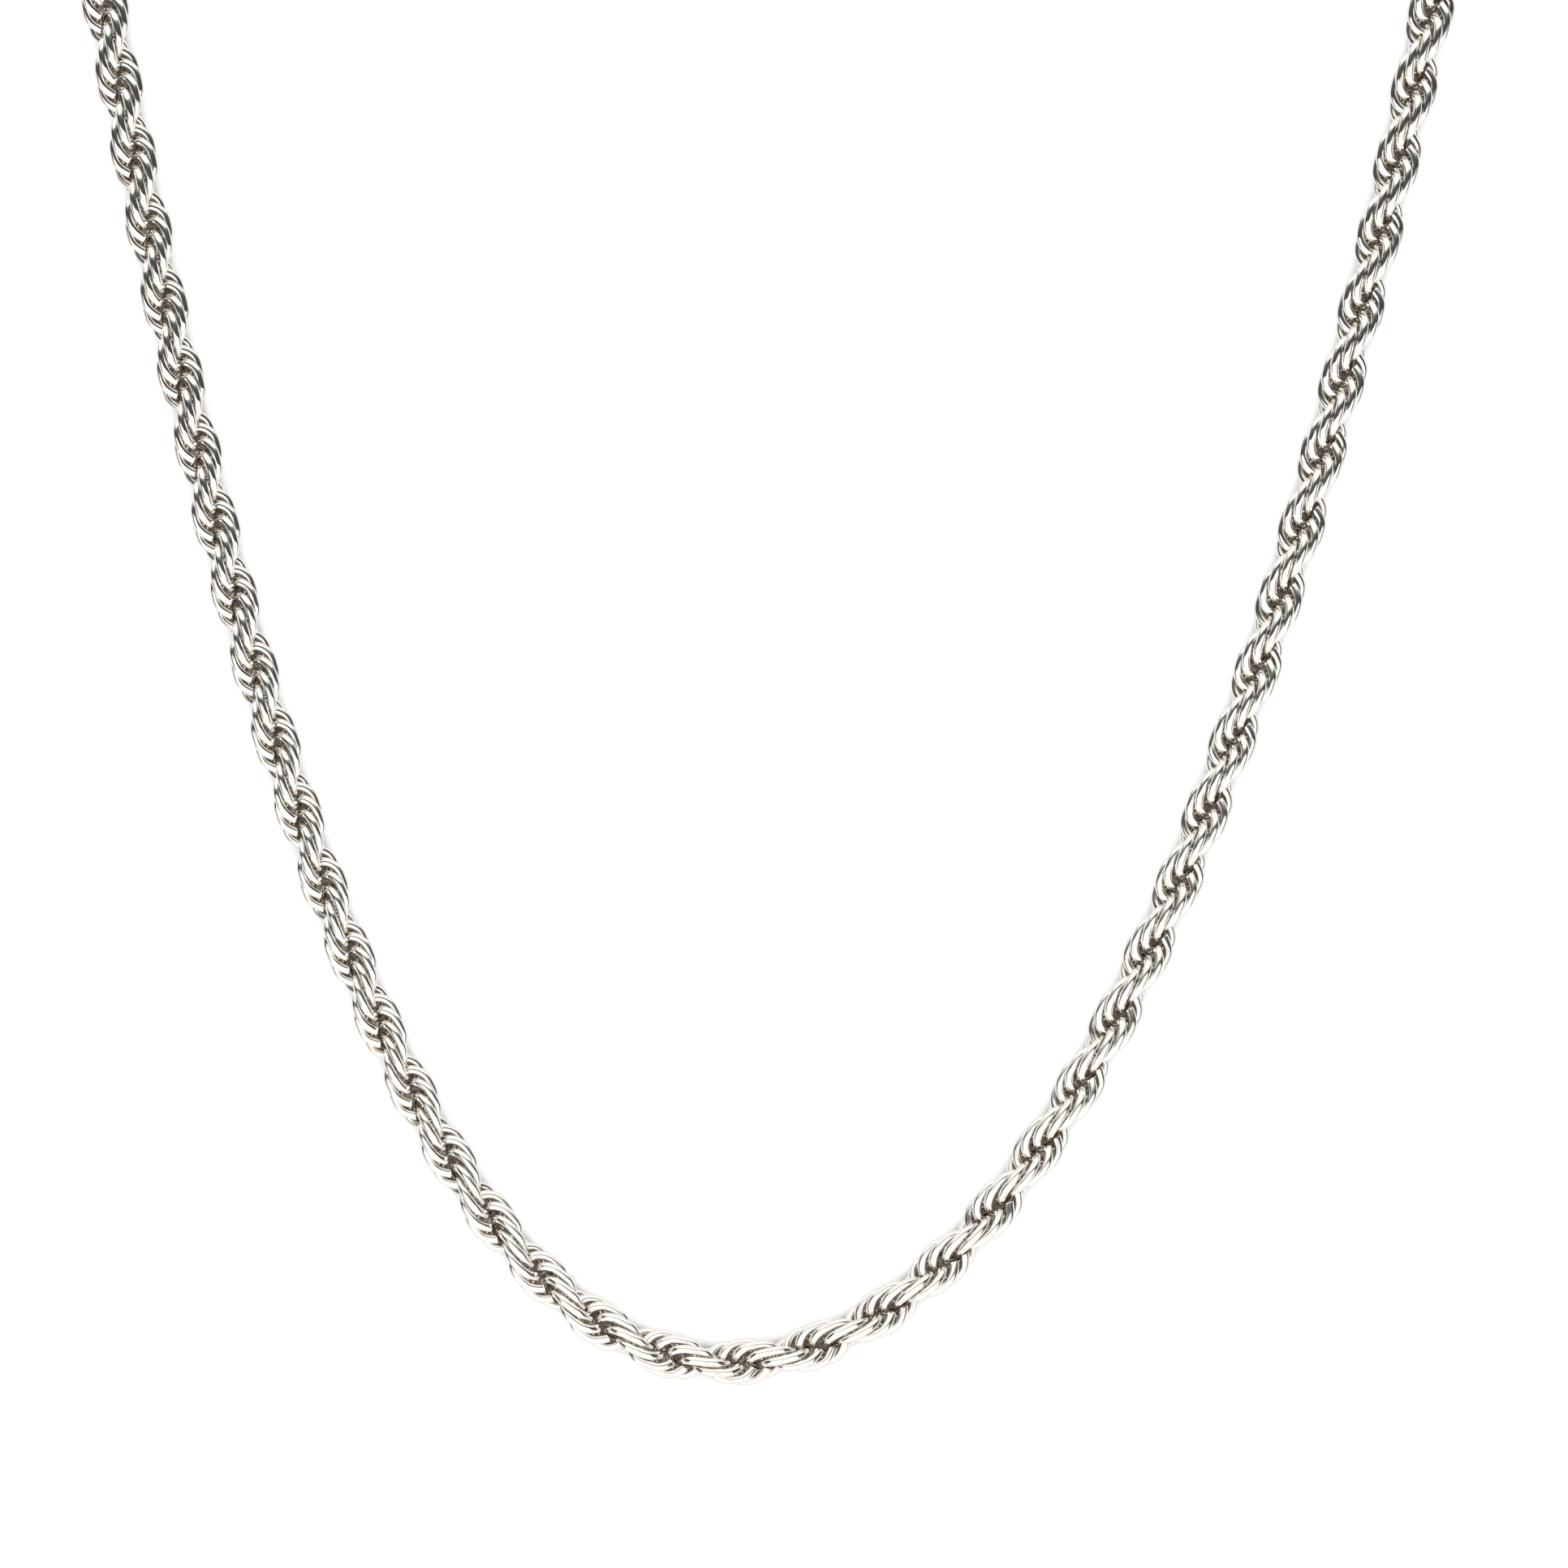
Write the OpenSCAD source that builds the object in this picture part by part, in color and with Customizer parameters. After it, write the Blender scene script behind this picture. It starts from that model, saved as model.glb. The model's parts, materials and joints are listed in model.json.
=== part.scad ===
// Rope chain necklace with a lobster clasp, laid flat as one open loop.
// The chain lies in the XY plane, its front at the low Y end, and +Z is up off the table.

/* [Chain] */
// Length of the chain between its two cut ends
chain_l = 583; // [400:1:800]
// Diameter of the wire that the links are wound from
wire_d = 1; // [0.8:0.05:1.2]
// Inside width of a link, counted in wire diameters
link_ratio = 3.08; // [3.06:0.01:3.4]
// Length of the straight sides between a link's two round ends
link_side = 0.7; // [0.5:0.05:0.8]
// Free space between neighbouring wires on the outside of the rope
link_gap = 0.075; // [0.065:0.005:0.12]
// Opening in a link, counted in wire diameters
link_mouth = 1.7; // [1.68:0.02:1.9]
// Number of separately moving sections on each side of the front one
side_sections = 25; // [10:1:25]

/* [How the chain lies] */
// Bend radius at the front of the left arm, as a share of the chain's length
bend_left = 0.0366; // [0.03:0.001:0.06]
// Bend radius at the front of the right arm, as a share of the chain's length
bend_right = 0.045; // [0.03:0.001:0.06]
// How fast the left arm straightens, per length of arm
ease_left = 0.0596; // [0.03:0.001:0.1]
// How fast the right arm straightens, per length of arm
ease_right = 0.0656; // [0.03:0.001:0.1]
// Length of each long arm, as a share of the chain's length
arm_share = 0.358; // [0.34:0.001:0.38]
// Straight run of chain inside and beside each end cap
end_run = 6; // [4:0.5:10]
// Place along the chain where a link lies flat on the table
flat_link_at = 2.01; // [0:0.01:8]

/* [End caps and rings] */
// Wall of an end cap
cap_wall = 0.35; // [0.25:0.05:0.6]
// Length of chain that a cap grips
cap_grip = 1.6; // [1.2:0.1:3]
// Depth that the crimped cap bites into the links
crimp = 0.04; // [0.02:0.01:0.08]
// Thickness of the closed end of a cap
cap_end = 0.8; // [0.6:0.1:1.5]
// Diameter of the wire of the cap eyes and the clasp eye
eye_wire = 0.9; // [0.7:0.1:1.2]
// Free hole through an eye
eye_hole = 1.8; // [1.6:0.1:2.4]
// Diameter of the wire of the two rings
ring_wire = 0.8; // [0.6:0.1:1]
// Free hole through the ring that carries the clasp
clasp_ring_hole = 2.6; // [2.5:0.1:3.4]
// Free hole through the ring that the clasp hooks
catch_ring_hole = 3.6; // [3:0.1:4]
// Play between a ring and the eye that it runs in
ring_play = 0.1; // [0.05:0.05:0.2]

/* [Clasp] */
// Outside radius of the claw
claw_r = 3.5; // [3.3:0.1:4.5]
// Width of the claw's rim
claw_rim = 1.3; // [1.1:0.1:1.5]
// Distance from the clasp's eye to the centre of the claw
claw_at = 7.8; // [7.4:0.1:9]
// Thickness of the clasp
clasp_t = 2.6; // [2.4:0.1:3.2]
// Diameter of the lever's rivet
rivet_d = 0.8; // [0.6:0.1:0.9]
// Radius of the lever's tongue around the rivet
tongue_r = 1; // [0.8:0.1:1.1]
// Thickness of the lever's tongue
tongue_t = 0.9; // [0.7:0.1:1]
// Diameter of the spring's wire
spring_wire = 0.25; // [0.2:0.05:0.3]
// Angle from the claw's axis to the rivet
rivet_turn = 138; // [134:1:142]
// Angle from the claw's axis to the tip of the hook
tip_turn = 36; // [30:1:42]
// Size of the thumb tab
tab_size = 1.1; // [0.8:0.1:1.4]
// Running play between the clasp's moving pieces
clasp_play = 0.12; // [0.08:0.02:0.2]
// Running play around the rivet
rivet_play = 0.05; // [0.03:0.01:0.08]

/* [Hidden] */
$fn = 64;
SILVER = "#d9d8d2";
STEEL = "#a9acad";

// One link: a long wire ring with a mouth, wide enough for the third link on to pass through it
link_r = wire_d * (link_ratio + 1) / 2;
chain_d = 2 * link_r + wire_d;
link_l = chain_d + link_side;
mouth_turn = asin(link_mouth * wire_d / (2 * link_r));
// The third link on sits in the mouth, with its round end a fifth of a wire past this link's
pitch = (2 * link_r + wire_d / 5) / 3;
// Neighbouring links turn far enough for their wires to lie side by side
twist = asin((wire_d + link_gap) / link_r);
half_links = floor(chain_l / pitch / 2);
half_l = half_links * pitch;
sections = 2 * side_sections + 1;

// Heading of the chain, from the front at 0 out along both arms to the two ends
arm_l = arm_share * chain_l;
function lies(s) = s < 0 ? bend_left : bend_right;
function ease(s) = s < 0 ? ease_left : ease_right;
function arm_heading(s) = atan2(s, lies(s) * chain_l + ease(s) * abs(s));
function back_turn(s) = 180 - abs(arm_heading(sign(s) * arm_l));
function back_share(s) = min(1, (abs(s) - arm_l) / (half_l - end_run - arm_l));
function back_heading(s) = arm_heading(sign(s) * arm_l) + sign(s) * back_turn(s) * back_share(s);
function heading(s) = abs(s) <= arm_l ? arm_heading(s) : back_heading(s);
function along(turn) = [cos(turn), sin(turn)];

// Centres of the links, walked outwards from the front one pitch at a time
function first_step(side) = side * pitch / 2 * along(heading(side * pitch / 4));
function next_step(side, i) = side * pitch * along(heading(side * (i + 1) * pitch));
function walk(side) =
    [for (i = 0, p = first_step(side); i < half_links; p = p + next_step(side, i), i = i + 1) p];
left_walk = walk(-1);
right_walk = walk(1);
function link_s(i) = (i + 0.5) * pitch;
function link_at(i) = i < 0 ? left_walk[-1 - i] : right_walk[i];
function link_turn(i) = (link_s(i) - flat_link_at) * twist / pitch;

// The two cut ends of the chain, half a pitch past the last links
left_end = left_walk[half_links - 1] - pitch / 2 * along(heading(-half_l));
right_end = right_walk[half_links - 1] + pitch / 2 * along(heading(half_l));

// Places along an end, measured outwards from the cut end of the chain
cap_d = chain_d - 2 * crimp + 2 * cap_wall;
cap_floor = (link_l - pitch) / 2 + ring_play;
cap_top = cap_floor + cap_end;
eye_r = (eye_hole + eye_wire) / 2;
eye_at = cap_top + eye_r;
// A ring's wire runs this far off the centre of the eye, towards the pull
run_off = (eye_hole - ring_wire) / 2 - ring_play;
clasp_ring_r = (clasp_ring_hole + ring_wire) / 2;
catch_ring_r = (catch_ring_hole + ring_wire) / 2;
clasp_at = eye_at + 2 * (run_off + clasp_ring_r);

// The clasp's rivet, seen from the clasp's eye
claw_mid = claw_r - claw_rim / 2;
claw_inner = claw_r - claw_rim;
rivet_at = [claw_at, 0] + claw_mid * along(rivet_turn);
mouth_reach = norm([claw_at, 0] + claw_mid * along(tip_turn) - rivet_at);
cheek_edge = rivet_at[0] + tongue_r + clasp_play;
gate_edge = cheek_edge + 2 * clasp_play;
slot_t = tongue_t + spring_wire + 3 * clasp_play;
tongue_z = (slot_t - tongue_t) / 2 - clasp_play;
spring_z = -(slot_t - spring_wire) / 2 + clasp_play;
tail_r = eye_r + eye_wire / 2;

// The box around the whole necklace, whose low centre is the origin
link_xs = [for (p = concat(left_walk, right_walk)) p[0]];
link_ys = [for (p = concat(left_walk, right_walk)) p[1]];
clasp_top = left_end[1] + max(claw_r, rivet_at[1] + tongue_r + tab_size);
low = [min(link_xs), min(link_ys)] - [chain_d, chain_d] / 2;
high = [max(link_xs) + chain_d / 2, max(max(link_ys) + cap_d / 2, clasp_top)];
origin = (low + high) / 2;
axis_z = cap_d / 2;

function two_digits(k) = str(k < 10 ? "0" : "", k);
function section_name(j) =
    j == 0 ? "front_section" : str(j < 0 ? "left" : "right", "_section_", two_digits(abs(j)));
// Links are dealt out evenly, so section j starts at this link
function section_start(j) = round((j + side_sections) * 2 * half_links / sections) - half_links;
SECTIONS = [for (j = [-side_sections:side_sections]) j];

// A round wire bent round the origin in the XY plane, from one angle on through a turn
module wire_arc(ring_r, d, from, turn) {
    rotate([0, 0, from])
        rotate_extrude(angle = turn)
            translate([ring_r, 0])
                circle(d = d);
}

module wire_ring(ring_r, d) {
    wire_arc(ring_r, d, 0, 360);
}

// One link along X: a closed round end, two straight sides, and a round end with the mouth at +X
module link() {
    translate([-link_side / 2, 0, 0])
        wire_arc(link_r, wire_d, 90, 180);
    for (side = [-1, 1])
        translate([-link_side / 2, side * link_r, 0])
            rotate([0, 90, 0])
                cylinder(d = wire_d, h = link_side);
    translate([link_side / 2, 0, 0]) {
        wire_arc(link_r, wire_d, mouth_turn, 90 - mouth_turn);
        wire_arc(link_r, wire_d, 270, 90 - mouth_turn);
    }
}

// Puts its children on the axis of the laid chain at a point and heading
module on_chain(p, turn) {
    translate([p[0] - origin[0], p[1] - origin[1], axis_z])
        rotate([0, 0, turn])
            children();
}

// Frames at the two cut ends, with +X pointing away from the chain
module at_left_end() {
    on_chain(left_end, heading(-half_l) + 180) children();
}

module at_right_end() {
    on_chain(right_end, heading(half_l)) children();
}

module chain_section(j) {
    color(SILVER)
        for (i = [section_start(j):section_start(j + 1) - 1])
            on_chain(link_at(i), heading(link_s(i)))
                rotate([link_turn(i), 0, 0])
                    link();
}

// A crimped cup over the last links, with an eye on its closed end
module end_cap() {
    color(SILVER) {
        rotate([0, 90, 0])
            difference() {
                translate([0, 0, -cap_grip])
                    cylinder(d = cap_d, h = cap_top + cap_grip);
                translate([0, 0, -cap_grip - cap_end])
                    cylinder(d = cap_d - 2 * cap_wall, h = cap_floor + cap_grip + cap_end);
            }
        translate([eye_at, 0, 0])
            wire_ring(eye_r, eye_wire);
    }
}

// A closed ring on edge, running in the cap's eye
module end_ring(ring_r) {
    color(SILVER)
        translate([eye_at + run_off + ring_r, 0, 0])
            rotate([90, 0, 0])
                wire_ring(ring_r, ring_wire);
}

module end_cap_left() {
    at_left_end() end_cap();
}

module end_cap_right() {
    at_right_end() end_cap();
}

module clasp_ring() {
    at_left_end() end_ring(clasp_ring_r);
}

module catch_ring() {
    at_right_end() end_ring(catch_ring_r);
}

module at_clasp() {
    at_left_end()
        translate([clasp_at, 0, 0])
            children();
}

// Everything above a line in the plane of the clasp and to the right of an edge
module mouth_side(edge, low_y) {
    translate([edge, low_y])
        square([2 * claw_r + claw_at, 2 * claw_r]);
}

module claw_outline() {
    translate([claw_at, 0])
        circle(r = claw_r);
    polygon([
        [eye_r, -eye_wire / 2], [eye_r, eye_wire / 2],
        [claw_at - claw_r, claw_mid], [claw_at, claw_r],
        [claw_at, -claw_r], [claw_at - claw_r, -claw_mid]
    ]);
}

// The part of the rim that the lever closes, within reach of the rivet
module gate_zone(play, edge) {
    intersection() {
        translate(rivet_at)
            circle(r = mouth_reach - play);
        mouth_side(edge, play);
    }
}

module clasp_body() {
    at_clasp() color(SILVER) {
        wire_ring(eye_r, eye_wire);
        difference() {
            linear_extrude(clasp_t, center = true)
                difference() {
                    claw_outline();
                    translate([claw_at, 0])
                        circle(r = claw_inner);
                    gate_zone(0, cheek_edge);
                    circle(r = eye_r);
                }
            translate([rivet_at[0], rivet_at[1], -slot_t / 2])
                cylinder(r = tongue_r + clasp_play, h = slot_t);
            translate([rivet_at[0], rivet_at[1], -slot_t / 2])
                cube([2 * tongue_r, claw_r, slot_t]);
            translate([rivet_at[0], rivet_at[1], -clasp_t])
                cylinder(d = rivet_d, h = 2 * clasp_t);
        }
    }
}

// The sprung gate, with its tongue on the rivet and a tab for the thumb
module clasp_lever() {
    at_clasp() color(SILVER)
        difference() {
            union() {
                linear_extrude(clasp_t - 2 * clasp_play, center = true)
                    intersection() {
                        difference() {
                            translate([claw_at, 0])
                                circle(r = claw_r);
                            translate([claw_at, 0])
                                circle(r = claw_inner);
                        }
                        gate_zone(clasp_play, gate_edge);
                    }
                translate([gate_edge, claw_mid * sin(rivet_turn), -clasp_t / 2 + clasp_play])
                    cube([tab_size, tongue_r + tab_size, clasp_t - 2 * clasp_play]);
                translate([rivet_at[0], rivet_at[1], tongue_z - tongue_t / 2]) {
                    cylinder(r = tongue_r, h = tongue_t);
                    cube([gate_edge - rivet_at[0] + tab_size / 2, tongue_r, tongue_t]);
                }
            }
            translate([rivet_at[0], rivet_at[1], -clasp_t])
                cylinder(d = rivet_d + 2 * rivet_play, h = 2 * clasp_t);
        }
}

module clasp_rivet() {
    at_clasp() color(STEEL)
        translate([rivet_at[0], rivet_at[1], -clasp_t / 2])
            cylinder(d = rivet_d, h = clasp_t);
}

// The torsion coil round the rivet, under the tongue
module clasp_spring() {
    at_clasp() color(STEEL)
        translate([rivet_at[0], rivet_at[1], spring_z])
            wire_ring(tongue_r - spring_wire, spring_wire);
}

for (j = SECTIONS)
    chain_section(j);
end_cap_left();
end_cap_right();
clasp_ring();
catch_ring();
clasp_body();
clasp_lever();
clasp_rivet();
clasp_spring();
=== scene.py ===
# %% [markdown]
# # A rope chain necklace
# A rope chain is one kind of link, repeated: a long open ring of round silver wire. Each link stands
# in a plane that holds the chain's axis, and the next link is turned a little and moved on a little.
# The wires that lie on the outside then look like two ropes wound round each other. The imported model
# holds every link as a solid, and this file gives the same links their polish.

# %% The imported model
import json

import bmesh
import bpy
import numpy as np
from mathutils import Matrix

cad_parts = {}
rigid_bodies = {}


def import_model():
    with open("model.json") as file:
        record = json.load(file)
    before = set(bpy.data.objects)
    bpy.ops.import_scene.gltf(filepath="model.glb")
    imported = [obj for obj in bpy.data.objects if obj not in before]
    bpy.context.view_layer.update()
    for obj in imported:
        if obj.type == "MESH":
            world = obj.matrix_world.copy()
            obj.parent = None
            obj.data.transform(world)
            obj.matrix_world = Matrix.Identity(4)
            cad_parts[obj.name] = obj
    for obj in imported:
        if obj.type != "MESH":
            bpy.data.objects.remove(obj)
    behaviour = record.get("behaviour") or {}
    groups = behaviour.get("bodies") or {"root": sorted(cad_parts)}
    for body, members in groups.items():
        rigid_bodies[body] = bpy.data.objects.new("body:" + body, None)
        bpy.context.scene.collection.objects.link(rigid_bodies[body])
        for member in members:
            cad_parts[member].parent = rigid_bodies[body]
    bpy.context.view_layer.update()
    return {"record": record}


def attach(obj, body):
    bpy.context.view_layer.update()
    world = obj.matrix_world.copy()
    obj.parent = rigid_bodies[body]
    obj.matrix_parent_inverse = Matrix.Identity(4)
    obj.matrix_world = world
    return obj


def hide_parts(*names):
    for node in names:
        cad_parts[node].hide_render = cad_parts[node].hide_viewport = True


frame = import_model()
record = frame["record"]
MM = 0.001

# %% [markdown]
# ## How the chain lies
# The chain hangs in the photograph, and lies in the same curve here. A hanging chain's heading
# follows the length of chain below it: tan(heading) = s / bend radius. Real links bind a little, so
# the radius grows along each arm. Past the long arms the chain turns round to its clasp on two arcs.
# A curve object could hold that line, but the links need their exact places, so the line is walked
# one link at a time, as in the solids.

# %% Sizes of the chain, in millimetres
CHAIN_L = 583.0
WIRE_D = 1.0
# A link's inside width in wires, its straight side, the play between neighbours, its mouth in wires
LINK_RATIO = 3.08
LINK_SIDE = 0.7
LINK_GAP = 0.075
LINK_MOUTH = 1.7
# The third link on passes through the mouth. It lies a link's width on, between the middles of the
# wires, and this share of a wire more
LINKS_THROUGH = 3
PITCH_PLAY = 0.2
# Bend at the front and how it eases, along the left arm (-1) and the right arm (1)
BEND_RADIUS = {-1: 0.0366 * CHAIN_L, 1: 0.045 * CHAIN_L}
BEND_EASE = {-1: 0.0596, 1: 0.0656}
ARM_L = 0.358 * CHAIN_L
# Straight run into each cap, and how far from the front a link lies flat
END_RUN = 6.0
FLAT_LINK_AT = 2.01
SIDE_SECTIONS = 25

LINK_R = WIRE_D * (LINK_RATIO + 1) / 2
MOUTH_TURN = np.arcsin(LINK_MOUTH * WIRE_D / (2 * LINK_R))
PITCH = (2 * LINK_R + PITCH_PLAY * WIRE_D) / LINKS_THROUGH
TWIST = np.arcsin((WIRE_D + LINK_GAP) / LINK_R)
HALF_LINKS = int(CHAIN_L / PITCH / 2)
HALF_L = HALF_LINKS * PITCH
SECTIONS = 2 * SIDE_SECTIONS + 1
print("pitch:", round(PITCH, 3), "turn:", round(np.degrees(TWIST), 2), "links:", 2 * HALF_LINKS)


# %% The line that the links stand on
def heading(s, side):
    """Heading of the chain at length s from the front, in radians: atan(s / radius) along the arm,
    and past the arm a steady turn that ends in line with the clasp, at half a turn from the front."""
    reach = np.minimum(s, ARM_L)
    on_arm = np.arctan2(reach, BEND_RADIUS[side] + BEND_EASE[side] * reach)
    arm_end = np.arctan2(ARM_L, BEND_RADIUS[side] + BEND_EASE[side] * ARM_L)
    back_share = np.clip((s - ARM_L) / (HALF_L - END_RUN - ARM_L), 0, 1)
    return side * (on_arm + (np.pi - arm_end) * back_share)


def walk(side):
    """Link centres outwards from the front: the running sum of one-pitch steps, each along the
    heading in the middle of its step. The first step is half a pitch."""
    steps = np.arange(HALF_LINKS) * PITCH
    steps[0] = PITCH / 4
    lengths = np.full(HALF_LINKS, PITCH)
    lengths[0] = PITCH / 2
    turn = heading(steps, side)
    ways = np.stack([np.cos(turn), np.sin(turn)], axis=1)
    return side * np.cumsum(ways * lengths[:, None], axis=0)


left_walk, right_walk = walk(-1), walk(1)
link_xy = np.concatenate([left_walk[::-1], right_walk])
link_s = (np.arange(-HALF_LINKS, HALF_LINKS) + 0.5) * PITCH
link_heading = np.where(link_s < 0, heading(-link_s, -1), heading(link_s, 1))
link_turn = (link_s - FLAT_LINK_AT) * TWIST / PITCH

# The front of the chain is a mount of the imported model, so the walk is moved to it
front = np.array(record["mounts"][0]["pos_m"]) / MM
link_xy += front[:2] - (left_walk[0] + right_walk[0]) / 2
AXIS_Z = front[2]
print("left end:", link_xy[0].round(2), "right end:", link_xy[-1].round(2))

# %% [markdown]
# ## Helpers
# One function joins closed shells into one list of points and faces, and one puts such a list into a
# mesh object. One adds a shader node, and one turns a written colour into the linear light that
# shaders count in.


# %% Mesh helpers
def join(shells):
    """One list of points and faces from several closed shells of (grid of points, faces)."""
    counts = np.cumsum([0] + [grid.size // 3 for grid, _ in shells])
    points = np.concatenate([grid.reshape(-1, 3) for grid, _ in shells])
    faces = [
        [corner + start for corner in face]
        for start, (_, own) in zip(counts, shells)
        for face in own
    ]
    return points, faces


def mesh_piece(name, points_mm, faces, body, material, replaces):
    """A smooth mesh object from points in millimetres, riding on a body and standing for CAD nodes."""
    mesh = bpy.data.meshes.new(name)
    mesh.from_pydata((points_mm * MM).tolist(), [], faces)
    mesh.polygons.foreach_set("use_smooth", np.ones(len(mesh.polygons), dtype=bool))
    mesh.materials.append(material)
    mesh.update()
    piece = bpy.data.objects.new(name, mesh)
    bpy.context.scene.collection.objects.link(piece)
    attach(piece, body)
    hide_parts(*replaces)
    return piece


# %% Node and colour helpers
# A Mix node that mixes colours takes them at these sockets, and gives the result at the last one
MIX_A, MIX_B, MIX_OUT = 6, 7, 2


def add_node(tree, kind, inputs=None, **settings):
    """Adds one shader node. Each input is a plain value, or the output socket that is linked to it."""
    node = tree.nodes.new(kind)
    for key, value in settings.items():
        setattr(node, key, value)
    for key, value in (inputs or {}).items():
        if isinstance(value, bpy.types.NodeSocket):
            tree.links.new(value, node.inputs[key])
        else:
            node.inputs[key].default_value = value
    return node


def linear(hex_colour):
    """sRGB hex to linear RGBA."""
    srgb = np.array([int(hex_colour[i : i + 2], 16) for i in (1, 3, 5)]) / 255
    low = srgb / 12.92
    high = ((srgb + 0.055) / 1.055) ** 2.4
    return (*np.where(srgb <= 0.04045, low, high), 1.0)


print("middle grey:", np.round(linear("#808080"), 3))

# %% [markdown]
# ## The wire's finish
# The links are drawn silver wire, wound, cut and soldered here and there, then tumbled and rhodium
# plated. Plating gives a mirror that is a little darker and warmer than pure silver. Tumbling polishes
# the outside of the rope. The sides that face its core are painted brown in patches, as painted shade
# in the rope's crevices. Each point of a link knows its place on the wire, so the painted shade
# follows the wire and not the table.

# %% Wire finish
# The second colour is brown painted shade on the sides of the wire that face the rope's core
SILVER, PAINTED_SHADE_BROWN = "#edeae4", "#8a7050"
# How far a point faces outwards is 1 on the rope's outside and -1 towards its core
# Where that painted shade starts and where it is full, on this scale
PAINTED_SHADE_STARTS, PAINTED_SHADE_FULL = -0.15, -0.9
# Size of the patches of painted shade, the range of noise that they use, and how thin and thick they
# get
PAINTED_SHADE_PATCH_MM = 0.7
PAINTED_SHADE_NOISE = 0.3, 0.65
PAINTED_SHADE_THIN, PAINTED_SHADE_THICK = 0.35, 0.9
# Width of the drawing die's lines, their length in widths, their noise, relief and depth
DRAW_LINE_MM, DRAW_LINE_LONG = 0.12, 8
DRAW_NOISE = 0.35, 0.75
DRAW_RELIEF, LINE_DEPTH_MM = 0.12, 0.01
# Roughness of the polished wire, of a drawing line, and what full painted shade adds
WIRE_SMOOTH, WIRE_ROUGH, PAINTED_SHADE_DULLS = 0.07, 0.17, 0.2


def plated_wire():
    """Rhodium plated silver wire: a mirror outside, brown painted shade towards the core, lines from
    drawing.
    """
    material = bpy.data.materials.new("rhodium_plated_silver_wire")
    material.use_nodes = True
    tree = material.node_tree
    shader = tree.nodes["Principled BSDF"]
    shader.inputs["Metallic"].default_value = 1.0
    # Painted shade: brown in patches where the wire faces the core
    place = add_node(tree, "ShaderNodeAttribute", attribute_name="wire_place").outputs["Vector"]
    axes = add_node(tree, "ShaderNodeSeparateXYZ", {0: place})
    recess = add_node(
        tree, "ShaderNodeMapRange",
        {"Value": axes.outputs["Y"], "From Min": PAINTED_SHADE_STARTS, "From Max": PAINTED_SHADE_FULL})
    where = add_node(tree, "ShaderNodeTexCoord").outputs["Object"]
    patches = add_node(
        tree, "ShaderNodeTexNoise", {"Vector": where, "Scale": 1 / (PAINTED_SHADE_PATCH_MM * MM), "Detail": 3.0})
    cover = add_node(
        tree, "ShaderNodeMapRange",
        {"Value": patches.outputs["Fac"], "From Min": PAINTED_SHADE_NOISE[0], "From Max": PAINTED_SHADE_NOISE[1],
         "To Min": PAINTED_SHADE_THIN, "To Max": PAINTED_SHADE_THICK})
    painted_shade = add_node(
        tree, "ShaderNodeMath", {0: recess.outputs[0], 1: cover.outputs[0]}, operation="MULTIPLY")
    colour = add_node(
        tree, "ShaderNodeMix",
        {0: painted_shade.outputs[0], MIX_A: linear(SILVER), MIX_B: linear(PAINTED_SHADE_BROWN)}, data_type="RGBA")
    tree.links.new(colour.outputs[MIX_OUT], shader.inputs["Base Color"])
    # Lines from the drawing die are stretched along the wire
    along = 1 / (DRAW_LINE_LONG * DRAW_LINE_MM)
    around = WIRE_D / 2 / DRAW_LINE_MM
    stretch = add_node(
        tree, "ShaderNodeVectorMath", {0: place, 1: (along, around, around)}, operation="MULTIPLY")
    lines = add_node(
        tree, "ShaderNodeTexNoise", {"Vector": stretch.outputs[0], "Scale": 1.0, "Detail": 2.0})
    worn = add_node(
        tree, "ShaderNodeMapRange",
        {"Value": lines.outputs["Fac"], "From Min": DRAW_NOISE[0], "From Max": DRAW_NOISE[1],
         "To Min": WIRE_SMOOTH, "To Max": WIRE_ROUGH})
    dull = add_node(
        tree, "ShaderNodeMath", {0: painted_shade.outputs[0], 1: PAINTED_SHADE_DULLS, 2: worn.outputs[0]},
        operation="MULTIPLY_ADD")
    tree.links.new(dull.outputs[0], shader.inputs["Roughness"])
    ripple = add_node(
        tree, "ShaderNodeBump",
        {"Height": lines.outputs["Fac"], "Strength": DRAW_RELIEF, "Distance": LINE_DEPTH_MM * MM})
    tree.links.new(ripple.outputs[0], shader.inputs["Normal"])
    return material


wire_finish = plated_wire()
print("material:", wire_finish.name)

# %% [markdown]
# ## The links
# Each link starts as drawn wire, wound on an oval rod and cut. A curve with a round bevel would give
# the shape, but 408 of them would be heavy. Instead a cage of a few dozen faces is worked out once,
# turned and moved to every link, and a subdivision surface rounds it. The cage is solved so that the
# rounded surface, and not the cage, passes through the wire's sections.

# %% The cage of one link
AROUND = 6
RINGS = 10
END_ROUND = 0.12
# The surface stays this far inside the wire, so that links clear each other at the end of a swing
RUN_FREE = 0.02
# The cage is this much broader outwards at the ends of a link, which leaves five sixths of it on the
# rounded wire and closes the pits between the two ropes
END_BROADER = 0.16


def wire_line(u):
    """Centre and outward way at length u along a link's wire: the angle grows with the length on the
    round ends and stands still on the straight sides, where the end's centre slides along instead."""
    first_end = LINK_R * (np.pi / 2 - MOUTH_TURN)
    far_side = first_end + LINK_SIDE + np.pi * LINK_R
    out_run = np.clip(u - first_end, 0, LINK_SIDE)
    back_run = np.clip(u - far_side, 0, LINK_SIDE)
    t = MOUTH_TURN + (u - out_run - back_run) / LINK_R
    way = np.stack([np.cos(t), np.sin(t), 0 * t], axis=-1)
    slide = np.stack([LINK_SIDE / 2 - out_run + back_run, 0 * t, 0 * t], axis=-1)
    return slide + LINK_R * way, way


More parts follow.
